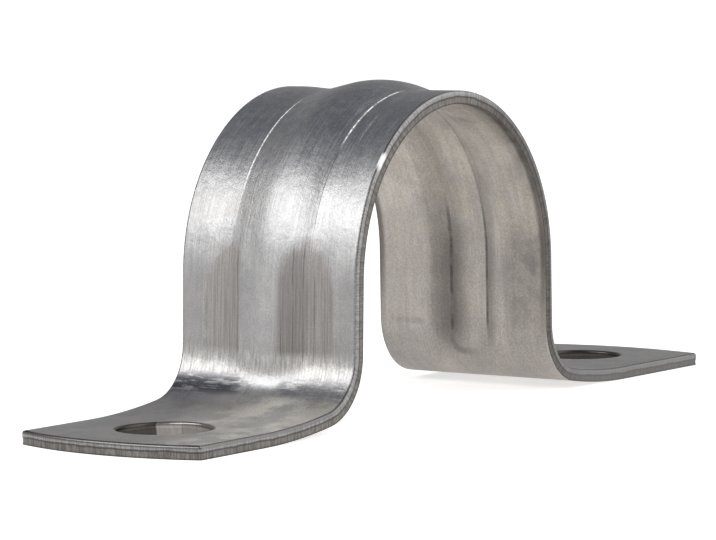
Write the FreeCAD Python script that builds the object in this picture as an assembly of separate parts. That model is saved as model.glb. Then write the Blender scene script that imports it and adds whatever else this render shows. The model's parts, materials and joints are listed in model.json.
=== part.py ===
import FreeCAD, Part
import math
import os

# Two-hole conduit strap, pressed in one piece from sheet metal. All sizes are in millimetres.
#
# The origin lies on the mounting plane, half way between the two screw holes.
# X runs from foot to foot, Y along the conduit and +Z away from the mounting surface.

# ---------------------------------------------------------------- driving dimensions

# The conduit, and how the arch holds it.
conduit_diameter = 26.7     # outside diameter, which is the arch's inside diameter
axis_height = 11.0          # conduit axis above the mounting plane: less than a radius, so it clamps
leg_splay = 1.4             # degrees by which each leg springs outward from upright
arch_offset = -2.6          # from the middle of the strip, which lay off centre in the tool

# The strip that the strap is pressed from.
sheet = 1.05                # thickness
strip_width = 16.5          # along the conduit
overall_length = 76.6       # from tip to tip, at the middle of the strip
tip_radius = 21.5           # shallow arc that the tips are sheared to

# The bend between a leg and its foot, which eases out into the foot.
bend_radius = 4.1           # on the upper, hollow side
easing_radius = 56.0        # of the long gentle curve that follows it
easing_angle = 8.7          # degrees that the gentle curve turns through

# The stiffening bead along the legs and the arch. The punch drives a flat-floored groove into the
# lower side, and the outer side bulges freely over it, steeper toward -Y than toward +Y.
bead_foot_front = -4.0      # the outer foot line on the -Y side
bead_foot_back = 3.5        # the outer foot line on the +Y side
bead_slope_front = 24.0     # degrees, of the flank that rises from each foot line
bead_slope_back = 13.0
bead_height = 0.78          # above the band on either side of it
bead_root_radius = 0.5      # hollow radius at its foot lines

groove_mouth_front = -3.8
groove_mouth_back = 3.1
groove_floor_front = -1.9
groove_floor_back = 1.2
groove_depth = 0.75
groove_lip_radius = 0.5     # where the band rolls into the groove
groove_corner_radius = 0.3  # along both sides of its floor

# The screw holes.
hole_diameter = 7.2
hole_spacing = 60.4

# The sheared edges, where the outer side rolls over a little.
edge_roll = 0.2

# ---------------------------------------------------------------- worked-out sizes

arch_radius = conduit_diameter / 2
splay = math.radians(leg_splay)
easing = math.radians(easing_angle)
under_bend = bend_radius + sheet            # the same bends, on the lower side of the sheet
under_easing = easing_radius + sheet
bend_rise = under_bend * (math.cos(easing) - math.sin(splay)) + under_easing * (1 - math.cos(easing))
leg_length = (axis_height + arch_radius * math.sin(splay) - bend_rise) / math.cos(splay)

# Where the bead's two flanks would meet, and the arc between them that keeps the crest to its height.
front_flank = math.radians(bead_slope_front)
back_flank = math.radians(bead_slope_back)
flank_reach = (bead_foot_back - bead_foot_front) / (math.tan(front_flank) + math.tan(back_flank))
apex_across = bead_foot_front + flank_reach * math.tan(back_flank)
apex_height = flank_reach * math.tan(front_flank) * math.tan(back_flank)
half_turn = (front_flank + back_flank) / 2
lean = (front_flank - back_flank) / 2
crest_radius = (apex_height - bead_height) / (math.cos(lean) / math.cos(half_turn) - 1)

half_width = strip_width / 2
half_length = overall_length / 2
tip_height = tip_radius - math.sqrt(tip_radius ** 2 - half_width ** 2)

# The two forms that the sheet is pressed between reach past the strip by this much each way.
margin = 5.0
form_reach = half_length + abs(arch_offset) + margin
form_width = strip_width + 2 * margin

# Faces within this angle of each other, in degrees, run smoothly together.
smooth_within = 4.0

# A point this near to a surface lies on it.
touching = 0.001

axis_point = FreeCAD.Vector(arch_offset, 0, axis_height)
along_conduit = FreeCAD.Vector(0, 1, 0)
leg_direction = FreeCAD.Vector(math.sin(splay), 0, -math.cos(splay))


def polar(centre, radius, angle):
    """Point at an angle from +X toward +Z, in the plane of the profile."""
    return centre + FreeCAD.Vector(radius * math.cos(angle), 0, radius * math.sin(angle))


def arc(centre, radius, start, end):
    middle = (start + end) / 2
    points = [polar(centre, radius, angle) for angle in (start, middle, end)]
    return Part.Arc(*points).toShape()


def line(start, end):
    return Part.makeLine(start, end)


def mirrored(shape):
    """The same shape on the other side of the conduit's axis."""
    return shape.mirror(axis_point, FreeCAD.Vector(1, 0, 0))


def half_profile(level):
    """Edges of the +X half, from crown to form end, at a level above the sheet's lower side."""
    leg_top = polar(axis_point, arch_radius + level, splay)
    leg_end = leg_top + leg_direction * leg_length

    bend_centre = polar(leg_end, under_bend - level, splay)
    bend_start = math.pi + splay
    bend_end = 3 * math.pi / 2 - easing
    easing_centre = polar(bend_centre, under_bend - under_easing, bend_end)
    foot_start = FreeCAD.Vector(easing_centre.x, 0, level)
    foot_end = FreeCAD.Vector(form_reach, 0, level)

    return [
        arc(axis_point, arch_radius + level, math.pi / 2, splay),
        line(leg_top, leg_end),
        arc(bend_centre, under_bend - level, bend_start, bend_end),
        arc(easing_centre, under_easing - level, bend_end, 3 * math.pi / 2),
        line(foot_start, foot_end),
    ]


def rounded(before, corner, after, radius):
    """The arc that rounds the corner between two straight runs."""
    back = (before - corner).normalize()
    on = (after - corner).normalize()
    half_angle = back.getAngle(on) / 2
    inward = (back + on).normalize()
    middle = corner + inward * (radius / math.sin(half_angle) - radius)
    reach = radius / math.tan(half_angle)
    return Part.Arc(corner + back * reach, middle, corner + on * reach).toShape()


def bead_section(level):
    """Face across the crown that the bead's bulge, or the groove under it, fills."""
    def at(across, height):
        return axis_point + FreeCAD.Vector(0, across, arch_radius + level + height)

    if level:
        ends = (bead_foot_front, bead_foot_back)
        corners = [at(apex_across, apex_height)]
        radius = crest_radius
    else:
        ends = (groove_mouth_front, groove_mouth_back)
        corners = [at(groove_floor_front, groove_depth), at(groove_floor_back, groove_depth)]
        radius = groove_corner_radius
    outline = [at(ends[0], 0)] + corners + [at(ends[1], 0)]
    arcs = [rounded(*outline[start:start + 3], radius) for start in range(len(corners))]
    top = []
    last = outline[0]
    for bend in arcs:
        top += [line(last, bend.valueAt(bend.FirstParameter)), bend]
        last = bend.valueAt(bend.LastParameter)
    top.append(line(last, outline[-1]))
    base = Part.makePolygon([at(ends[1], 0), at(ends[1], -sheet), at(ends[0], -sheet), at(ends[0], 0)])
    return Part.Face(Part.Wire(top + base.Edges))


def bead_body(level):
    """The bead as a solid round the arch and down both legs, until the bends swallow it."""
    section = bead_section(level)
    quarter_turn = 90 - leg_splay
    run = leg_length + bend_radius
    quarter_arch = section.revolve(axis_point, along_conduit, quarter_turn)
    leg_section = section.copy()
    leg_section.rotate(axis_point, along_conduit, quarter_turn)
    leg_bead = leg_section.extrude(leg_direction * run)
    half = quarter_arch.fuse(leg_bead)
    return half.fuse(mirrored(half))


def middle_of(edge):
    return edge.valueAt((edge.FirstParameter + edge.LastParameter) / 2)


def is_sharp(shape, edge):
    """True where the two faces that meet at an edge don't run smoothly into each other."""
    faces = shape.ancestorsOfType(edge, Part.Face)
    if len(faces) != 2:
        return False
    normals = []
    for face in faces:
        u, v = face.Surface.parameter(middle_of(edge))
        normals.append(face.normalAt(u, v))
    return normals[0].getAngle(normals[1]) > math.radians(smooth_within)


def lies_on(shape, edge):
    return shape.distToShape(Part.Vertex(middle_of(edge)))[0] < touching


def form(level, foot_radius):
    """The shape that one side of the sheet takes: band, legs, feet and bead, down to a flat base."""
    half = half_profile(level)
    other_half = [mirrored(edge) for edge in half]
    right_end = half[-1].BoundBox.XMax
    left_end = other_half[-1].BoundBox.XMin
    base = Part.makePolygon([
        FreeCAD.Vector(right_end, 0, level),
        FreeCAD.Vector(right_end, 0, -margin),
        FreeCAD.Vector(left_end, 0, -margin),
        FreeCAD.Vector(left_end, 0, level),
    ])
    profile = Part.Wire(Part.__sortEdges__(half + other_half + base.Edges))
    profile.translate(FreeCAD.Vector(0, -form_width / 2, 0))
    plain = Part.Face(profile).extrude(FreeCAD.Vector(0, form_width, 0))
    beaded = plain.fuse(bead_body(level)).removeSplitter()

    # The line where the bead meets the band, the legs and the bends is blended all round.
    foot_line = [
        edge for edge in beaded.Edges
        if max(abs(edge.BoundBox.YMin), abs(edge.BoundBox.YMax)) < half_width and is_sharp(beaded, edge)
    ]
    return beaded.makeFillet(foot_radius, foot_line)


def blank():
    """The flat outline of the strip, seen from above, as a tall prism."""
    low = -margin
    high = axis_height + arch_radius + margin
    corner = half_length - tip_height
    right = FreeCAD.Vector(corner, half_width, low)
    right_tip = FreeCAD.Vector(half_length, 0, low)
    right_back = FreeCAD.Vector(corner, -half_width, low)
    left = FreeCAD.Vector(-corner, -half_width, low)
    left_tip = FreeCAD.Vector(-half_length, 0, low)
    left_back = FreeCAD.Vector(-corner, half_width, low)
    outline = Part.Wire([
        Part.Arc(right, right_tip, right_back).toShape(),
        line(right_back, left),
        Part.Arc(left, left_tip, left_back).toShape(),
        line(left_back, right),
    ])
    return Part.Face(outline).extrude(FreeCAD.Vector(0, 0, high - low))


def holes():
    """Both screw holes, punched square to the feet."""
    depth = sheet + 2 * margin
    upright = FreeCAD.Vector(0, 0, 1)
    cutters = [
        Part.makeCylinder(hole_diameter / 2, depth, FreeCAD.Vector(x, 0, -margin), upright)
        for x in (-hole_spacing / 2, hole_spacing / 2)
    ]
    return cutters[0].fuse(cutters[1])


def strap():
    outer_form = form(sheet, bead_root_radius)
    inner_form = form(0, groove_lip_radius)
    pressed = outer_form.cut(inner_form)
    sheared = pressed.common(blank()).cut(holes()).removeSplitter()

    # The shears and the punch enter from the outer side, so only the edges on that side roll over.
    rolled = [edge for edge in sheared.Edges if is_sharp(sheared, edge) and lies_on(outer_form, edge)]
    return sheared.makeFillet(edge_roll, rolled)


shape = strap()
os.makedirs("parts", exist_ok=True)
shape.exportStep("parts/strap.step")
print("valid", shape.isValid(), "solids", len(shape.Solids), "volume", round(shape.Volume, 2))
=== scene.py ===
import json
import math

import bmesh
import bpy
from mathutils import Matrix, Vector, noise


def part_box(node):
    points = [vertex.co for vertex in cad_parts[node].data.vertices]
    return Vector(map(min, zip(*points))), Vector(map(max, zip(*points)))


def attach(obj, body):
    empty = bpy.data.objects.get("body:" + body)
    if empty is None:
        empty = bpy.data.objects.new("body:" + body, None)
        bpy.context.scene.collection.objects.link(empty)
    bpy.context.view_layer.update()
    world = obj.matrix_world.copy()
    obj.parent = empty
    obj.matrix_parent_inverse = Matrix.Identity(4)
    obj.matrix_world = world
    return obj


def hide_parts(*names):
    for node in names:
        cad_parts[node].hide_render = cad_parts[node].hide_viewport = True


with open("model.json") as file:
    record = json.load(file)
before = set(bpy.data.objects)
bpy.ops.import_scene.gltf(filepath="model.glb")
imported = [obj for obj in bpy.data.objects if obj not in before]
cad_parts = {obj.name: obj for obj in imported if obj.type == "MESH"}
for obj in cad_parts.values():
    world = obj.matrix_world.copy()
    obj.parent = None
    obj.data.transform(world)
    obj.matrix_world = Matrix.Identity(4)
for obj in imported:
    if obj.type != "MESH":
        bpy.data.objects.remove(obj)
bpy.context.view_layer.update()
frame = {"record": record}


# ---------------------------------------------------------------- the strap
# One strip of mill-finish aluminium. It is sheared to length with arched tips and pierced twice
# while it is flat. A press then forms the bead, the saddle, the legs and the feet in one stroke.

mm = 0.001
mounts = {mount["name"]: mount for mount in frame["record"]["mounts"]}
strap_low, strap_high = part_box("strap")

# The conduit that the arch holds, and where its axis lies.
saddle = mounts["conduit_saddle"]
arch_inside = saddle["dims"]["r_mm"] * mm
axis = Vector(saddle["pos_m"])

# The strip.
sheet = 1.05 * mm
half_width = (strap_high.y - strap_low.y) / 2
tip_radius = 21.5 * mm
hole_radius = mounts["screw_holes"]["dims"]["hole_r_mm"] * mm
hole_reach = mounts["screw_holes"]["dims"]["spacing_x_mm"] * mm / 2

# The legs, the bends and the long easing curve into each foot, on the outer side of the sheet.
leg_splay = math.radians(1.4)
bend_radius = 4.1 * mm
easing_radius = 56 * mm
easing_turn = math.radians(8.7)

# The bead's bulge on the outer side, from foot line to foot line, and how steeply its flanks rise.
bulge_front, bulge_back = -4.0 * mm, 3.5 * mm
front_flank, back_flank = math.radians(26), math.radians(13)
bulge_height = 0.78 * mm

# The groove that the punch leaves on the inner side.
mouth_front, mouth_back = -3.8 * mm, 3.1 * mm
groove_front, groove_back = -2.0 * mm, 1.35 * mm
groove_depth = 0.75 * mm
press_radius = 0.05 * mm            # how softly the bead's lines blend
bulge_fade = (26.3 * mm, 31.3 * mm) # where the free bulge dies away into the bend
back_lift = 0.15 * mm               # by which the +Y margin of the arch stands proud
back_margin = (4.4 * mm, 7.0 * mm)  # where that lift begins and where it is full

middle_radius = arch_inside + sheet / 2
middle_bend = bend_radius + sheet / 2
middle_easing = easing_radius + sheet / 2
bend_turn = math.pi / 2 - leg_splay - easing_turn
bend_drop = (bend_radius + sheet) * (math.cos(easing_turn) - math.sin(leg_splay))
easing_drop = (easing_radius + sheet) * (1 - math.cos(easing_turn))
leg_length = (axis.z + arch_inside * math.sin(leg_splay) - bend_drop - easing_drop) / math.cos(leg_splay)

# Each half of the strip as runs from the crown to the foot: its length along the middle of the
# sheet, and how far it turns, clockwise as seen with +X to the right.
runs = [
    (middle_radius * (math.pi / 2 - leg_splay), math.pi / 2 - leg_splay),
    (leg_length, 0),
    (middle_bend * bend_turn, -bend_turn),
    (middle_easing * easing_turn, -easing_turn),
]
bend_start = runs[0][0] + runs[1][0]
foot_start = sum(length for length, turn in runs)


def along_profile(reach):
    """Distance out from the conduit's axis, height and slope of the sheet's middle at a reach."""
    out, up, slope = 0.0, middle_radius, 0.0
    for length, turn in runs:
        step = min(reach, length)
        if turn:
            radius = length / turn
            bent = slope + step / radius
            out += radius * (math.sin(bent) - math.sin(slope))
            up += radius * (math.cos(bent) - math.cos(slope))
            slope = bent
        else:
            out += step * math.cos(slope)
            up -= step * math.sin(slope)
        reach -= step
    return out + reach * math.cos(slope), up - reach * math.sin(slope), slope


# The crest of the bulge is an arc that touches both flanks.
flank_reach = (bulge_back - bulge_front) / (math.tan(front_flank) + math.tan(back_flank))
apex_across = bulge_front + flank_reach * math.tan(back_flank)
apex_height = flank_reach * math.tan(front_flank) * math.tan(back_flank)
crest_lean = (front_flank - back_flank) / 2
crest_turn = (front_flank + back_flank) / 2
crest_radius = (apex_height - bulge_height) / (math.cos(crest_lean) / math.cos(crest_turn) - 1)
crest_across = apex_across + crest_radius / math.cos(crest_turn) * math.sin(crest_lean)


def bulge(across):
    """Height of the bead's outer side over the band."""
    if across < crest_across - crest_radius * math.sin(front_flank):
        return math.tan(front_flank) * (across - bulge_front)
    if across > crest_across + crest_radius * math.sin(back_flank):
        return math.tan(back_flank) * (bulge_back - across)
    return bulge_height - crest_radius + math.sqrt(crest_radius ** 2 - (across - crest_across) ** 2)


def groove(across):
    """Depth of the groove on the inner side."""
    front = (across - mouth_front) * groove_depth / (groove_front - mouth_front)
    back = (mouth_back - across) * groove_depth / (mouth_back - groove_back)
    wall = min(front, back)
    return (wall + groove_depth - math.hypot(wall - groove_depth, press_radius)) / 2


def eased(share):
    share = min(max(share, 0), 1)
    return share * share * (3 - 2 * share)


def kept(rise):
    """A rise where it is one, with a soft foot line, and nothing where it is a fall."""
    return (rise + math.hypot(rise, press_radius)) / 2


def pressed(along, across, depth):
    """Place in the finished strap of a point at a depth under the flat strip's outer face."""
    reach = abs(along)
    out, up, slope = along_profile(reach)
    outer = kept(bulge(across)) * (1 - eased((reach - bulge_fade[0]) / (bulge_fade[1] - bulge_fade[0])))

    # The groove runs on at full depth until the bend turns out under it.
    bent = min(max(reach - bend_start, 0) / middle_bend, math.pi / 3)
    inner = kept(groove(across) - (bend_radius + sheet) * (1 - math.cos(bent))) / math.cos(bent)
    lift = sheet / 2 + outer + (inner - outer - sheet) * depth / sheet
    margin = (across - back_margin[0]) / (back_margin[1] - back_margin[0])
    lift += back_lift * eased(margin) * (1 - eased(reach / bend_start))
    out += lift * math.sin(slope)
    up += lift * math.cos(slope)
    return Vector((axis.x + math.copysign(out, along), across, axis.z + up))


# Where the holes and the tips lie along the flat strip.
foot_out = along_profile(foot_start)[0]
flat_ends = [
    -(foot_start + axis.x - strap_low.x - foot_out),
    foot_start + strap_high.x - axis.x - foot_out,
]
flat_holes = [
    -(foot_start + hole_reach + axis.x - foot_out),
    foot_start + hole_reach - axis.x - foot_out,
]

# The flat strip as a grid of cells.
cell = 0.25 * mm
cells_across = round(2 * half_width / cell)
cells_along = round((flat_ends[1] - flat_ends[0]) / (1.3 * cell))
blank = bmesh.new()
bmesh.ops.create_grid(blank, x_segments=cells_along, y_segments=cells_across, size=1)
bmesh.ops.scale(blank, vec=((flat_ends[1] - flat_ends[0]) / 2, half_width, 1), verts=blank.verts)
bmesh.ops.translate(blank, vec=(sum(flat_ends) / 2, 0, 0), verts=blank.verts)

# The holes: a square of cells makes way for rings that close in on the round edge.
hole_patch = 1.45 * hole_radius
patch_clear = 1.2 * hole_patch      # beyond the patch, whichever cells it took
rings = 5
touch = 0.02 * mm                   # nearer than this to an outline counts as on it
for centre in flat_holes:
    patch = [
        face for face in blank.faces
        if max(abs(face.calc_center_median().x - centre), abs(face.calc_center_median().y)) < hole_patch
    ]
    bmesh.ops.delete(blank, geom=patch, context="FACES")
    square = [
        edge for edge in blank.edges
        if edge.is_boundary
        and max(abs(edge.verts[0].co.x - centre), abs(edge.verts[0].co.y)) < patch_clear
    ]
    ring = bmesh.ops.extrude_edge_only(blank, edges=square)["geom"]
    middle = Vector((centre, 0, 0))
    for vert in (part for part in ring if isinstance(part, bmesh.types.BMVert)):
        vert.co = middle + (vert.co - middle).normalized() * hole_radius
    spokes = [
        edge for edge in blank.edges
        if min((vert.co - middle).length for vert in edge.verts) < hole_radius + touch
        and max((vert.co - middle).length for vert in edge.verts) > hole_radius + touch
    ]
    bmesh.ops.subdivide_edges(blank, edges=spokes, cuts=rings, use_grid_fill=True)

# The tips: beyond the holes the cells slide back to the shallow arc of the shear.
for vert in blank.verts:
    end = flat_ends[0] if vert.co.x < 0 else flat_ends[1]
    hole = flat_holes[0] if vert.co.x < 0 else flat_holes[1]
    square_end = abs(hole) + patch_clear
    share = max(abs(vert.co.x) - square_end, 0) / (abs(end) - square_end)
    sagitta = tip_radius - math.sqrt(tip_radius ** 2 - vert.co.y ** 2)
    vert.co.x -= math.copysign(share * sagitta, end)

# The thickness: the outline goes down through the sheet in steps that are finest at the top.
wall_steps = 9
wall_crowding = 1.7                 # the higher, the more the steps crowd toward the top
walls = bmesh.ops.extrude_face_region(blank, geom=blank.faces[:], use_keep_orig=True)["geom"]
lower_verts = [part for part in walls if isinstance(part, bmesh.types.BMVert)]
bmesh.ops.translate(blank, vec=(0, 0, -sheet), verts=lower_verts)
upright = [edge for edge in blank.edges if abs(edge.verts[0].co.z - edge.verts[1].co.z) > sheet / 2]
bmesh.ops.subdivide_edges(blank, edges=upright, cuts=wall_steps - 1)
bmesh.ops.recalc_face_normals(blank, faces=blank.faces)

# A sheared edge: the outer side rolls over, a burnished band follows, and below it the metal
# has torn away, a little back from the band and uneven, down to a small burr.
edge_roll = 0.2 * mm
burnish_depth = 0.46 * sheet
tear_back = 0.035 * mm
tear_run = 0.12 * sheet             # the depth over which the tear opens
tear_grain = 0.5 * mm
burr = 0.03 * mm
burr_start = 0.9 * sheet
flat_place = blank.verts.layers.float_vector.new("flat_place")
on_wall = blank.verts.layers.float.new("on_wall")


def off_the_edge(vert):
    """Direction in the flat strip from a vertex of the outline into the metal."""
    for centre in flat_holes:
        spoke = Vector((vert.co.x - centre, vert.co.y, 0))
        if spoke.length < hole_radius + touch:
            return spoke.normalized()
    direction = Vector((0, 0, 0))
    if abs(vert.co.y) > half_width - touch:
        direction.y = -math.copysign(1, vert.co.y)
    end = flat_ends[0] if vert.co.x < 0 else flat_ends[1]
    sagitta = tip_radius - math.sqrt(tip_radius ** 2 - vert.co.y ** 2)
    if abs(vert.co.x) > abs(end) - sagitta - touch:
        direction.x = -math.copysign(1, vert.co.x)
    return direction


def tear(place, depth):
    """How far the sheared wall stands back at a depth."""
    if depth < edge_roll:
        return edge_roll - math.sqrt(edge_roll ** 2 - (edge_roll - depth) ** 2)
    torn = min(max((depth - burnish_depth) / tear_run, 0), 1)
    rough = 0.5 + 0.5 * noise.noise(place / tear_grain)
    near_foot = max((depth - burr_start) / (sheet - burr_start), 0)
    return torn * tear_back * (0.6 + 0.8 * rough) - near_foot * burr * rough


wall_verts = {vert for edge in blank.edges for vert in edge.verts
              if any(abs(face.normal.z) < 0.5 for face in vert.link_faces)}
moves = {}
for vert in wall_verts:
    share = min(max(-vert.co.z / sheet, 0), 1)
    depth = sheet * share ** wall_crowding
    moves[vert] = (depth, off_the_edge(vert) * tear(vert.co.copy(), depth))
for vert, (depth, shift) in moves.items():
    vert[on_wall] = 1.0
    vert.co += shift
    vert.co.z = -depth

# The cells near a line of the bead draw in to it, so that the line stays crisp.
outer_lines = (bulge_front, bulge_back)
inner_lines = (mouth_front, groove_front, groove_back, mouth_back)
draw_reach = 1.5 * cell
bend_end = bend_start + runs[2][0]
for vert in blank.verts:
    if abs(vert.co.x) < bend_end:
        for line in outer_lines if vert.co.z > -sheet / 2 else inner_lines:
            past = vert.co.y - line
            if abs(past) < draw_reach:
                vert.co.y = line + past * abs(past) / draw_reach

# The press: every point of the flat strip goes to its place in the finished strap.
for vert in blank.verts:
    vert[flat_place] = vert.co / mm
    vert.co = pressed(vert.co.x, vert.co.y, -vert.co.z)

outer_finish, inner_finish, edge_finish = range(3)
for face in blank.faces:
    if all(vert[on_wall] > 0.5 for vert in face.verts):
        face.material_index = edge_finish
    elif sum(vert[flat_place].z for vert in face.verts) / len(face.verts) > -0.5 * sheet / mm:
        face.material_index = outer_finish
    else:
        face.material_index = inner_finish
    face.smooth = True
bmesh.ops.recalc_face_normals(blank, faces=blank.faces)

strap_mesh = bpy.data.meshes.new("pressed_strap")
blank.to_mesh(strap_mesh)
blank.free()
strap = bpy.data.objects.new("pressed_strap", strap_mesh)
bpy.context.scene.collection.objects.link(strap)


def wired(tree, kind, inputs=(), **settings):
    """A node with its settings made, and its inputs set to values or joined to other outputs."""
    made = tree.nodes.new("ShaderNode" + kind)
    for name, value in settings.items():
        setattr(made, name, value)
    for socket, value in dict(inputs).items():
        if isinstance(value, bpy.types.NodeSocket):
            tree.links.new(value, made.inputs[socket])
        else:
            made.inputs[socket].default_value = value
    return made


def calc(tree, operation, *values):
    return wired(tree, "Math", enumerate(values), operation=operation).outputs[0]


def step_between(tree, value, start, end, low=0.0, high=1.0):
    """A smooth step from low to high while a value goes from start to end."""
    inputs = {"Value": value, "From Min": start, "From Max": end, "To Min": low, "To Max": high}
    return wired(tree, "MapRange", inputs, interpolation_type="SMOOTHSTEP").outputs["Result"]


def blended(tree, share, first, second):
    """Two colours mixed by a share of the second."""
    mix = wired(tree, "Mix", {"Factor": share}, data_type="RGBA")
    for socket, value in ((mix.inputs[6], first), (mix.inputs[7], second)):
        if isinstance(value, bpy.types.NodeSocket):
            tree.links.new(value, socket)
        else:
            socket.default_value = (*value, 1)
    return mix.outputs[2]


def new_group(name, inputs, output):
    """An empty node group: its tree, its inputs by name and its output node."""
    tree = bpy.data.node_groups.new(name, "ShaderNodeTree")
    for socket, kind, value in inputs:
        made = tree.interface.new_socket(socket, in_out="INPUT", socket_type="NodeSocket" + kind)
        if value is not None:
            made.default_value = value
    tree.interface.new_socket(output, in_out="OUTPUT", socket_type="NodeSocketFloat")
    return tree, tree.nodes.new("NodeGroupInput").outputs, tree.nodes.new("NodeGroupOutput").inputs


def placed(tree, group, inputs):
    node = tree.nodes.new("ShaderNodeGroup")
    node.node_tree = group
    for socket, value in inputs.items():
        if isinstance(value, bpy.types.NodeSocket):
            tree.links.new(value, node.inputs[socket])
        else:
            node.inputs[socket].default_value = value
    return node.outputs[0]


def product(tree, first, *others):
    for other in others:
        first = calc(tree, "MULTIPLY", first, other)
    return first


def distance(tree, value, middle):
    """How far a value lies from a middle, either way."""
    return calc(tree, "ABSOLUTE", calc(tree, "SUBTRACT", value, middle))


def between(tree, value, start, full, still_full, end):
    """A smooth rise from start to full, and a smooth fall from still_full to end."""
    return product(tree, step_between(tree, value, start, full), step_between(tree, value, end, still_full))


# Fine lines that the rolls and the press draw along the strip. Lines is how many to a millimetre,
# and Length how many millimetres they run.
draw_marks, given, result = new_group("draw_marks", [
    ("Place", "Vector", None), ("Lines", "Float", 4.0), ("Length", "Float", 10.0)], "Mark")
squeeze = wired(draw_marks, "CombineXYZ", {
    "X": calc(draw_marks, "DIVIDE", 1.0, given["Length"]), "Y": given["Lines"], "Z": 1.0})
drawn_out = wired(draw_marks, "VectorMath", {0: given["Place"], 1: squeeze.outputs[0]}, operation="MULTIPLY")
lines = wired(draw_marks, "TexNoise", {
    "Vector": drawn_out.outputs[0], "Scale": 1.0, "Detail": 3.0, "Roughness": 0.65})
draw_marks.links.new(step_between(draw_marks, lines.outputs[0], 0.3, 0.7), result["Mark"])

# Cloudy stains and grain, of a size in millimetres.
clouds, given, result = new_group("clouds", [
    ("Place", "Vector", None), ("Size", "Float", 5.0), ("Contrast", "Float", 0.16)], "Cloud")
puffs = wired(clouds, "TexNoise", {
    "Vector": given["Place"], "Scale": calc(clouds, "DIVIDE", 1.0, given["Size"]),
    "Detail": 5.0, "Roughness": 0.6})
clouds.links.new(step_between(
    clouds, puffs.outputs[0], calc(clouds, "SUBTRACT", 0.5, given["Contrast"]),
    calc(clouds, "ADD", 0.5, given["Contrast"])), result["Cloud"])

# One line along the strip at a distance across it, between two reaches from the crown.
score, given, result = new_group("score", [
    ("Place", "Vector", None), ("Across", "Float", 0.0), ("Half Width", "Float", 0.06),
    ("Start", "Float", 0.0), ("End", "Float", 10.0), ("Fade", "Float", 1.0)], "Line")
split = wired(score, "SeparateXYZ", {0: given["Place"]}).outputs
off_line = distance(score, split[1], given["Across"])
width = step_between(score, off_line, given["Half Width"], calc(score, "MULTIPLY", given["Half Width"], 0.3))
reach = calc(score, "ABSOLUTE", split[0])
begins = step_between(score, reach, calc(score, "SUBTRACT", given["Start"], given["Fade"]), given["Start"])
ends = step_between(score, reach, calc(score, "ADD", given["End"], given["Fade"]), given["End"])
score.links.new(product(score, width, begins, ends), result["Line"])

# Where the forming die has rubbed a leg: a patch with an arched top that ends at the bend.
die_rub, given, result = new_group("die_rub", [
    ("Place", "Vector", None), ("Middle", "Float", 0.0), ("Half Width", "Float", 3.0)], "Rub")
rub_shoulder = 23.5         # reach from the crown at which the arched top begins
rub_arch = 4.6              # how far the top rises from there toward the crown
rub_end = 27.8
split = wired(die_rub, "SeparateXYZ", {0: given["Place"]}).outputs
reach = calc(die_rub, "ABSOLUTE", split[0])
sideways = calc(die_rub, "DIVIDE", calc(die_rub, "SUBTRACT", split[1], given["Middle"]), given["Half Width"])
over_shoulder = calc(die_rub, "MAXIMUM", calc(die_rub, "SUBTRACT", rub_shoulder, reach), 0.0)
upward = calc(die_rub, "DIVIDE", over_shoulder, rub_arch)
outward = calc(die_rub, "SQRT", calc(
    die_rub, "ADD", calc(die_rub, "MULTIPLY", sideways, sideways), calc(die_rub, "MULTIPLY", upward, upward)))
ragged = wired(die_rub, "TexNoise", {"Vector": given["Place"], "Scale": 0.9, "Detail": 4.0}).outputs[0]
ragged = calc(die_rub, "MULTIPLY", calc(die_rub, "SUBTRACT", ragged, 0.5), 0.35)
inside = step_between(die_rub, calc(die_rub, "ADD", outward, ragged), 1.18, 0.8)
above_bend = step_between(die_rub, reach, rub_end, rub_end - 0.9)
die_rub.links.new(product(die_rub, inside, above_bend), result["Rub"])


def new_metal(name, roughness):
    """A metal with its node tree, its surface and the place in the flat strip, in millimetres."""
    material = bpy.data.materials.new(name)
    material.use_nodes = True
    tree = material.node_tree
    surface = tree.nodes["Principled BSDF"]
    surface.inputs["Metallic"].default_value = 1
    surface.inputs["Roughness"].default_value = roughness
    place = wired(tree, "Attribute", attribute_name="flat_place", attribute_type="GEOMETRY").outputs["Vector"]
    return material, tree, surface, place


# Stretches of the strip that look different, in millimetres: where each begins, is full, starts to
# fade and is gone. The first four are reaches from the crown, the same both ways.
above_leg = (13.8, 15.6, 16.4, 18.4)
rubbed_leg = (19.5, 22.5, 26.6, 28.0)
dragged_bend = (26.0, 27.6, 29.0, 30.0)
bend_dirt_and_shade = (29.0, 30.3, 31.0, 32.2)
worn_along = (15.0, 20.5, 24.5, 31.0)
nick_across = (3.6, 4.4, 7.0, 7.6)
back_wall_shade_across = (1.05, 1.4, 1.4, 4.0)
edge_glint_along = (-13.0, -12.2, -11.6, -11.0)
oiled_along = (1.0, 9.0, 28.0, 36.0)
holes_along = (-49.5, -48.8, 53.8, 54.5)
facet_across = (0.95, 1.05, 2.6, 2.7)
give_depth = (0.44, 0.52, 0.57, 0.66)
old_oil = (0.05, 0.045, 0.04)

# The outer face, drawn bright by the rolls, rubbed by the die on the legs.
outer_metal, tree, surface, place = new_metal("drawn_face", 0.4)
split = wired(tree, "SeparateXYZ", {0: place}).outputs
along, across = split[0], split[1]
reach = calc(tree, "ABSOLUTE", along)
fine = placed(tree, draw_marks, {"Place": place, "Lines": 6.0, "Length": 5.0})
broad = placed(tree, draw_marks, {"Place": place, "Lines": 0.9, "Length": 16.0})
stain = placed(tree, clouds, {"Place": place, "Size": 3.2})
speckle = placed(tree, clouds, {"Place": place, "Size": 0.7})
grain = placed(tree, clouds, {"Place": place, "Size": 0.15})
colour = blended(tree, stain, (0.38, 0.375, 0.375), (0.51, 0.505, 0.495))
colour = blended(tree, product(tree, broad, 0.45), colour, (0.34, 0.34, 0.35))
colour = blended(tree, product(tree, speckle, 0.35), colour, (0.27, 0.27, 0.28))
colour = blended(tree, product(tree, fine, 0.3), colour, (0.62, 0.615, 0.605))
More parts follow.
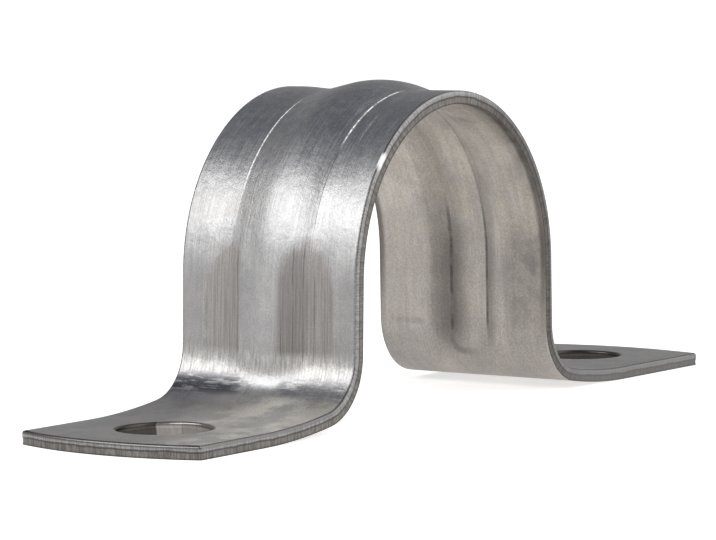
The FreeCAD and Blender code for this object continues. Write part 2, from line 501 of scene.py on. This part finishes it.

# Brighter streaks where the bend's die drags over the sheet, and below it a dark band that is partly dirt
# pressed in and partly painted shade, which cuts the bend's highlight short.
streaks = placed(tree, draw_marks, {"Place": place, "Lines": 5.0, "Length": 1.6})
streaked = blended(tree, streaks, (0.28, 0.273, 0.262), (0.56, 0.545, 0.52))
colour = blended(tree, product(tree, between(tree, reach, *dragged_bend), 0.75), colour, streaked)
# The dark band past the bend: dirt and painted shade together.
turned = wired(tree, "CombineXYZ", {"X": across, "Y": along, "Z": 0.0}).outputs[0]
streaks_across = placed(tree, draw_marks, {"Place": turned, "Lines": 1.8, "Length": 2.4})
dirt_and_shade = product(
    tree, between(tree, reach, *bend_dirt_and_shade),
    step_between(tree, calc(tree, "ABSOLUTE", across), 1.1, 2.4),
    step_between(tree, streaks_across, 0.05, 0.6), step_between(tree, across, -6.5, 2.5, 0.45, 0.85))
colour = blended(tree, dirt_and_shade, colour, (0.05, 0.052, 0.07))

# The legs where the die rubs them, left darker and warmer, and scored with thin lines.
back_rub = placed(tree, die_rub, {"Place": place, "Middle": 2.9, "Half Width": 3.3})
front_rub = placed(tree, die_rub, {"Place": place, "Middle": -3.75, "Half Width": 2.7})
rub = calc(
    tree, "MAXIMUM",
    product(tree, back_rub, step_between(tree, across, 2.35, 2.7)),
    product(tree, front_rub, step_between(tree, across, -0.7, -2.0)))
rub_lines = placed(tree, draw_marks, {"Place": place, "Lines": 8.5, "Length": 7.0})
rubbed = blended(tree, rub_lines, (0.36, 0.34, 0.32), (0.185, 0.172, 0.162))
colour = blended(tree, product(tree, rub, 0.8), colour, rubbed)
on_leg = between(tree, reach, *rubbed_leg)
# Darker toward both margins of the legs, and painted shade on the bead's +Y side.
leg_margin_and_shade = calc(
    tree, "MAXIMUM",
    step_between(tree, distance(tree, across, -0.4), 5.6, 6.6, 0.0, 0.35),
    product(tree, step_between(tree, across, -0.3, 1.4), 0.22))
leg_margin_and_shade = product(tree, leg_margin_and_shade, on_leg, step_between(tree, rub, 0.6, 0.1))
colour = blended(tree, leg_margin_and_shade, colour, (0.17, 0.165, 0.165))
colour = blended(tree, product(tree, on_leg, 0.16), colour, (0.22, 0.2, 0.175))

# Painted shade above the legs, more so toward +Y, which dims the soft box's highlight there.
dimmed_highlight = product(
    tree, between(tree, reach, *above_leg), step_between(tree, across, -5.0, 6.0, 0.06, 0.34))
colour = blended(tree, dimmed_highlight, colour, (0.2, 0.19, 0.17))

# The darkest part of the rubbing, beside the bead, and the lines that are scored into it.
darkest = product(tree, rub, step_between(tree, distance(tree, across, -2.4), 1.6, 0.6), 0.45)
colour = blended(tree, darkest, colour, (0.16, 0.15, 0.145))
scored = 0.0
for at, start, end in ((-3.5, 19.8, 27.6), (-2.7, 19.6, 21.4), (-1.75, 24.5, 28.0), (-4.4, 22.0, 27.4),
                       (-2.75, 24.0, 26.5), (-5.4, 23.0, 27.0), (2.75, 20.0, 27.5), (-4.0, 10.8, 17.5)):
    line = placed(tree, score, {"Place": place, "Across": at, "Half Width": 0.05, "Start": start, "End": end})
    scored = calc(tree, "MAXIMUM", line, scored)
scored = product(tree, scored, step_between(tree, streaks, 0.0, 0.8, 0.5, 1.0), 0.7)
colour = blended(tree, scored, colour, (0.06, 0.055, 0.05))

# Faint dried marks on the feet, and a lighter margin on the -Y side of the -X foot.
blotch = placed(tree, clouds, {"Place": place, "Size": 2.2, "Contrast": 0.1})
dried = product(tree, step_between(tree, reach, 31.5, 34.0), blotch, 0.45)
colour = blended(tree, dried, colour, (0.56, 0.53, 0.48))
patchy = placed(tree, clouds, {"Place": place, "Size": 3.0, "Contrast": 0.1})
bright_foot = calc(
    tree, "MAXIMUM",
    product(
        tree, step_between(tree, along, -30.5, -32.5), step_between(tree, along, -50.0, -38.0),
        step_between(tree, across, 4.5, -2.0)),
    product(tree, step_between(tree, along, -30.5, -33.0), step_between(tree, across, -3.0, -6.5)))
bright_foot = product(tree, bright_foot, calc(tree, "ADD", 0.25, product(tree, patchy, 0.75)), 0.95)
colour = blended(tree, bright_foot, colour, (0.92, 0.89, 0.82))
colour = blended(tree, product(tree, grain, 0.3), colour, (0.15, 0.15, 0.16))

# Bluer and more mottled over the crown, where the rolls' oil has dried.
bluish = product(
    tree, step_between(tree, reach, 14.5, 9.0, 0.0, 0.45),
    step_between(tree, calc(tree, "ADD", speckle, grain), 0.5, 1.5))
colour = blended(tree, bluish, colour, (0.27, 0.285, 0.335))

# The bead's foot lines over the arch, which the die's lips scrape bright, painted as highlights, a faint
# scratch beside them, and a painted highlight at the edge.
highlights_and_scratch = 0.0
for at, half_line, start, end, fade, strength in (
        (bulge_back / mm, 0.11, 7.0, 14.0, 4.0, 1.0), (bulge_front / mm, 0.1, 3.0, 9.0, 3.0, 1.0),
        (-5.3, 0.05, 7.4, 9.8, 0.9, 0.4)):
    line = placed(tree, score, {
        "Place": place, "Across": at, "Half Width": half_line, "Start": start, "End": end, "Fade": fade})
    highlights_and_scratch = calc(tree, "MAXIMUM", product(tree, line, strength), highlights_and_scratch)
# A painted highlight at the -X side of the arch's edge.
edge_highlight = placed(tree, score, {
    "Place": place, "Across": -8.2, "Half Width": 0.24, "Start": 11.5, "End": 12.2, "Fade": 0.9})
edge_highlight = product(tree, edge_highlight, step_between(tree, along, 0.0, -1.0))
dotted = placed(tree, clouds, {"Place": place, "Size": 0.35, "Contrast": 0.1})
highlights_and_scratch = product(
    tree, calc(tree, "MAXIMUM", highlights_and_scratch, edge_highlight), step_between(tree, dotted, 0.0, 0.7, 0.35, 1.0))
colour = blended(tree, highlights_and_scratch, colour, (0.92, 0.91, 0.90))
tree.links.new(colour, surface.inputs["Base Color"])

roughness = step_between(tree, fine, 0.0, 1.0, 0.38, 0.46)
roughness = calc(tree, "ADD", roughness, product(tree, rub, 0.1))
roughness = calc(tree, "ADD", roughness, product(tree, highlights_and_scratch, 0.4))
tree.links.new(step_between(tree, highlights_and_scratch, 0.0, 1.0, 1.0, 0.2), surface.inputs["Metallic"])
tree.links.new(roughness, surface.inputs["Roughness"])
relief = calc(tree, "ADD", product(tree, fine, 0.4), product(tree, speckle, 0.6))
relief = calc(tree, "SUBTRACT", relief, product(tree, rub, rub_lines, 1.2))
bump = wired(tree, "Bump", {"Strength": 0.8, "Distance": 0.00002, "Height": relief})
tree.links.new(bump.outputs[0], surface.inputs["Normal"])

# The inner face, matt and stained where oil has dried on it.
inner_metal, tree, surface, place = new_metal("inner_face", 0.5)
split = wired(tree, "SeparateXYZ", {0: place}).outputs
along, across = split[0], split[1]
reach = calc(tree, "ABSOLUTE", along)
stain = placed(tree, clouds, {"Place": place, "Size": 5.5, "Contrast": 0.12})
mottle = placed(tree, clouds, {"Place": place, "Size": 1.6})
grain = placed(tree, clouds, {"Place": place, "Size": 0.17})
fine = placed(tree, draw_marks, {"Place": place, "Lines": 2.2, "Length": 5.0})
colour = blended(tree, stain, (0.56, 0.515, 0.465), (0.38, 0.35, 0.335))
colour = blended(tree, product(tree, mottle, 0.55), colour, (0.62, 0.565, 0.485))
colour = blended(tree, step_between(tree, reach, 14.0, 25.0, 0.0, 0.4), colour, (0.43, 0.405, 0.39))
colour = blended(tree, product(tree, fine, 0.25), colour, (0.26, 0.245, 0.23))
colour = blended(tree, product(tree, grain, 0.34), colour, (0.17, 0.155, 0.14))

# Worn places: a mottled one and a short mark across the strip, both on the +X leg, and a plain
# darker margin toward +Y on both legs.
worn = product(
    tree, step_between(tree, distance(tree, across, -6.2), 2.6, 0.9),
    between(tree, along, *worn_along),
    step_between(tree, mottle, 0.9, 0.1, 0.14, 0.42))
far_margin = product(
    tree, step_between(tree, across, 4.2, 6.8, 0.0, 0.18), step_between(tree, reach, 19.0, 22.0))
nick = product(
    tree, step_between(tree, distance(tree, along, 27.3), 0.45, 0.1),
    between(tree, across, *nick_across), 0.28)
worn = calc(tree, "MAXIMUM", calc(tree, "MAXIMUM", worn, far_margin), nick)
colour = blended(tree, worn, colour, (0.14, 0.13, 0.125))

# Grime along the margins over the arch.
from_middle = calc(tree, "ABSOLUTE", across)
grime = product(
    tree, step_between(tree, from_middle, 6.2, 8.1), step_between(tree, reach, 19.0, 12.0),
    calc(tree, "ADD", 0.3, product(tree, mottle, 0.5)))
colour = blended(tree, grime, colour, (0.10, 0.092, 0.075))
rim = product(tree, step_between(tree, from_middle, 7.5, 7.95), step_between(tree, reach, 30.0, 20.0), 0.7)
colour = blended(tree, rim, colour, (0.07, 0.06, 0.05))

# Painted shade in the groove: each wall darkens toward the floor's corner, and so does the floor on the +Y
# side.
back_wall_shade = between(tree, across, *back_wall_shade_across)
front_wall_shade = product(
    tree, step_between(tree, across, -3.4, -2.2), step_between(tree, across, -1.9, -2.1), 0.75)
walls = product(tree, calc(tree, "MAXIMUM", back_wall_shade, front_wall_shade), 0.55)
floor_shade = product(
    tree, step_between(tree, across, -0.9, 1.5, 0.0, 0.72), step_between(tree, across, 1.5, 1.3))
on_leg = calc(
    tree, "ADD", step_between(tree, reach, 7.0, 12.0, 0.0, 0.5),
    step_between(tree, reach, 17.0, 22.0, 0.0, 0.5))
above_bend = step_between(tree, reach, 30.6, 27.4)
walls = product(tree, calc(tree, "MAXIMUM", walls, floor_shade), on_leg, above_bend)
# Painted shade along the groove's two creases.
back_line = placed(tree, score, {
    "Place": place, "Across": 1.42, "Half Width": 0.28, "Start": 4.0, "End": 27.4, "Fade": 1.8})
front_line = placed(tree, score, {
    "Place": place, "Across": -2.08, "Half Width": 0.22, "Start": 4.0, "End": 26.6, "Fade": 2.6})
crease_shade = product(
    tree, calc(tree, "MAXIMUM", back_line, front_line), step_between(tree, reach, 16.0, 20.0, 0.45, 1.0),
    step_between(tree, mottle, 0.0, 1.0, 1.0, 0.72), 0.88)

# Painted shade around the groove's rounded end, of which the +Y side shows most.
groove_middle, groove_half = -0.33, 1.75
end_start, end_length = 28.0, 1.6
past_start = calc(tree, "MAXIMUM", calc(tree, "SUBTRACT", reach, end_start), 0.0)
sideways = calc(tree, "DIVIDE", distance(tree, across, groove_middle), groove_half)
onward = calc(tree, "DIVIDE", past_start, end_length)
outward = calc(tree, "POWER", calc(
    tree, "ADD", calc(tree, "POWER", sideways, 3.0), calc(tree, "POWER", onward, 3.0)), 1 / 3)
groove_end_shade = product(
    tree, between(tree, outward, 0.75, 1.0, 1.05, 1.35), step_between(tree, reach, 27.6, 28.2),
    step_between(tree, across, -1.2, 0.9, 0.12, 0.5))
dark = calc(tree, "MAXIMUM", calc(tree, "MAXIMUM", walls, crease_shade), groove_end_shade)
colour = blended(tree, dark, colour, (0.075, 0.066, 0.06))
tree.links.new(colour, surface.inputs["Base Color"])
tree.links.new(step_between(tree, mottle, 0.0, 1.0, 0.48, 0.6), surface.inputs["Roughness"])
relief = calc(tree, "ADD", product(tree, fine, 0.3), product(tree, grain, 0.7))
bump = wired(tree, "Bump", {"Strength": 0.6, "Distance": 0.000015, "Height": relief})
tree.links.new(bump.outputs[0], surface.inputs["Normal"])

# The sheared edge: a burnished band under the rolled side, a dark line where it gives way, and the
# torn band below, lined up and down by the shear.
edge_metal, tree, surface, place = new_metal("sheared_edge", 0.4)
split = wired(tree, "SeparateXYZ", {0: place}).outputs
along, across = split[0], split[1]
depth = calc(tree, "MULTIPLY", split[2], -1.0)
upright_marks = wired(tree, "VectorMath", {0: place, 1: (7.0, 7.0, 0.7)}, operation="MULTIPLY").outputs[0]
shear_lines = wired(tree, "TexNoise", {
    "Vector": upright_marks, "Scale": 1.0, "Detail": 3.0, "Roughness": 0.7}).outputs[0]
wander = placed(tree, clouds, {"Place": place, "Size": 1.6, "Contrast": 0.3})
give = calc(tree, "ADD", depth, product(tree, wander, 0.12))
torn = step_between(tree, give, 0.5, 0.6)
streak = step_between(tree, shear_lines, 0.35, 0.65)
colour = blended(
    tree, torn, blended(tree, streak, (0.17, 0.168, 0.165), (0.29, 0.285, 0.28)),
    blended(tree, streak, (0.12, 0.112, 0.105), (0.235, 0.22, 0.205)))
give_line = between(tree, give, *give_depth)
colour = blended(tree, product(tree, give_line, 0.8), colour, old_oil)
foot_of_wall = step_between(tree, depth, 0.93, 1.02, 0.0, 0.7)
colour = blended(tree, foot_of_wall, colour, old_oil)

# Painted shade where the feet's edges roll over, which dims the highlight they catch.
roll_shade = product(
    tree, step_between(tree, depth, 0.34, 0.2),
    step_between(tree, calc(tree, "ABSOLUTE", along), 30.0, 34.0), 0.7)
colour = blended(tree, roll_shade, colour, (0.12, 0.115, 0.11))

# The +X foot's edge is given the tone of its top.
top_tone = step_between(tree, along, 29.0, 35.0, 0.0, 0.6)
colour = blended(tree, top_tone, colour, (0.15, 0.147, 0.145))

# A painted highlight on the rolled edge, high on the -X side of the front.
edge_glint = product(
    tree, step_between(tree, depth, 0.42, 0.28), between(tree, along, *edge_glint_along),
    step_between(tree, across, -7.8, -8.1))
colour = blended(tree, edge_glint, colour, (0.95, 0.95, 0.94))
tree.links.new(step_between(tree, edge_glint, 0.0, 1.0, 1.0, 0.1), surface.inputs["Metallic"])

# Oil has darkened the edge on the +X side of the arch.
oiled = between(tree, along, *oiled_along)
colour = blended(tree, product(tree, oiled, 0.5), colour, old_oil)

# The holes' walls are darker, painted shade for the dark inside of the holes. On the -X foot they are lighter
# toward -Y, and lightest on one facet.
in_hole = product(
    tree, step_between(tree, calc(tree, "ABSOLUTE", across), 3.9, 3.7),
    between(tree, along, *holes_along))
lighter_facet = calc(
    tree, "MAXIMUM", between(tree, across, *facet_across),
    step_between(tree, across, 0.9, 1.1, 0.7, 0.0))
lighter_facet = product(tree, lighter_facet, step_between(tree, along, 0.0, -1.0))
hole_wall_shade = blended(tree, lighter_facet, (0.055, 0.048, 0.043), (0.36, 0.335, 0.31))
hole_wall_shade = blended(tree, product(tree, streak, 0.25), hole_wall_shade, (0.08, 0.075, 0.07))
colour = blended(tree, product(tree, in_hole, 0.85), colour, hole_wall_shade)
tree.links.new(colour, surface.inputs["Base Color"])
tree.links.new(step_between(tree, torn, 0.0, 1.0, 0.3, 0.6), surface.inputs["Roughness"])
bump = wired(tree, "Bump", {"Strength": 0.7, "Distance": 0.00003, "Height": shear_lines})
tree.links.new(bump.outputs[0], surface.inputs["Normal"])

for metal in (outer_metal, inner_metal, edge_metal):
    strap.data.materials.append(metal)

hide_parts("strap")
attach(strap, "root")


# ---------------------------------------------------------------- the floor
# A plain white sheet that the strap stands on.

floor_mesh = bpy.data.meshes.new("floor")
sheet_bmesh = bmesh.new()
bmesh.ops.create_grid(sheet_bmesh, x_segments=1, y_segments=1, size=60)
sheet_bmesh.to_mesh(floor_mesh)
sheet_bmesh.free()
floor = bpy.data.objects.new("floor", floor_mesh)
bpy.context.scene.collection.objects.link(floor)
floor_paint = bpy.data.materials.new("floor_paint")
floor_paint.use_nodes = True
floor_surface = floor_paint.node_tree.nodes["Principled BSDF"]
floor_surface.inputs["Base Color"].default_value = (0.8, 0.8, 0.8, 1)
floor_surface.inputs["Roughness"].default_value = 0.9
floor_surface.inputs["Emission Color"].default_value = (1, 1, 1, 1)
floor_lift = 0.58           # what the floor lacks of white, for the rays that show it
tree = floor_paint.node_tree
rays = wired(tree, "LightPath").outputs
seen = calc(tree, "MAXIMUM", rays["Is Camera Ray"], rays["Is Glossy Ray"])
seen = calc(tree, "MAXIMUM", seen, rays["Is Transmission Ray"])
tree.links.new(product(tree, seen, floor_lift), floor_surface.inputs["Emission Strength"])
floor.data.materials.append(floor_paint)


# ---------------------------------------------------------------- the light
# A dim room, paler at the level of the eye than overhead, with a wide soft box up on the left and
# a broad even light from the front and right.

world = bpy.data.worlds.new("room")
world.use_nodes = True
background = world.node_tree.nodes["Background"]
looking = wired(world.node_tree, "TexCoord").outputs["Generated"]
height = wired(world.node_tree, "SeparateXYZ", {0: looking}).outputs[2]
overhead = wired(world.node_tree, "Clamp", {0: height}).outputs[0]
room = blended(world.node_tree, overhead, (0.50, 0.49, 0.48), (0.145, 0.155, 0.185))
world.node_tree.links.new(room, background.inputs["Color"])
bpy.context.scene.world = world

strap_middle = (strap_low + strap_high) / 2
box_place = Vector((-0.44, 0.17, 0.315))    # from the middle of the strap, which it faces
softbox = bpy.data.lights.new("left_softbox", "AREA")
softbox.shape = "RECTANGLE"
softbox.size, softbox.size_y = 0.75, 0.25
softbox.energy = 2.7
left_softbox = bpy.data.objects.new("left_softbox", softbox)
left_softbox.location = strap_middle + box_place
left_softbox.rotation_mode = "QUATERNION"
left_softbox.rotation_quaternion = (-box_place).to_track_quat("-Z", "Y")
bpy.context.scene.collection.objects.link(left_softbox)

# The wide disk keeps the feet from mirroring it as a glare.
fill = bpy.data.lights.new("fill", "SUN")
fill.energy = 2.0
fill.angle = math.radians(84)
fill_light = bpy.data.objects.new("fill", fill)
fill_light.rotation_mode = "QUATERNION"
fill_light.rotation_quaternion = Vector((-0.5, 0.7, -0.52)).to_track_quat("-Z", "Y")
bpy.context.scene.collection.objects.link(fill_light)


# ---------------------------------------------------------------- the camera
# A long lens, low down on the -X and -Y side.

camera_data = bpy.data.cameras.new("camera")
camera_data.sensor_width = 36
camera_data.lens = 171.2
camera_data.shift_x = -0.0506
camera_data.shift_y = 0.0235
camera = bpy.data.objects.new("camera", camera_data)
camera.location = (-0.22905, -0.15262, 0.03316)
looks_down, leans, heading = 4.951, 0.216, 33.589
camera.rotation_euler = [math.radians(turn) for turn in (90 - looks_down, leans, heading - 90)]
bpy.context.scene.collection.objects.link(camera)
bpy.context.scene.camera = camera
bpy.context.scene.view_settings.view_transform = "Standard"
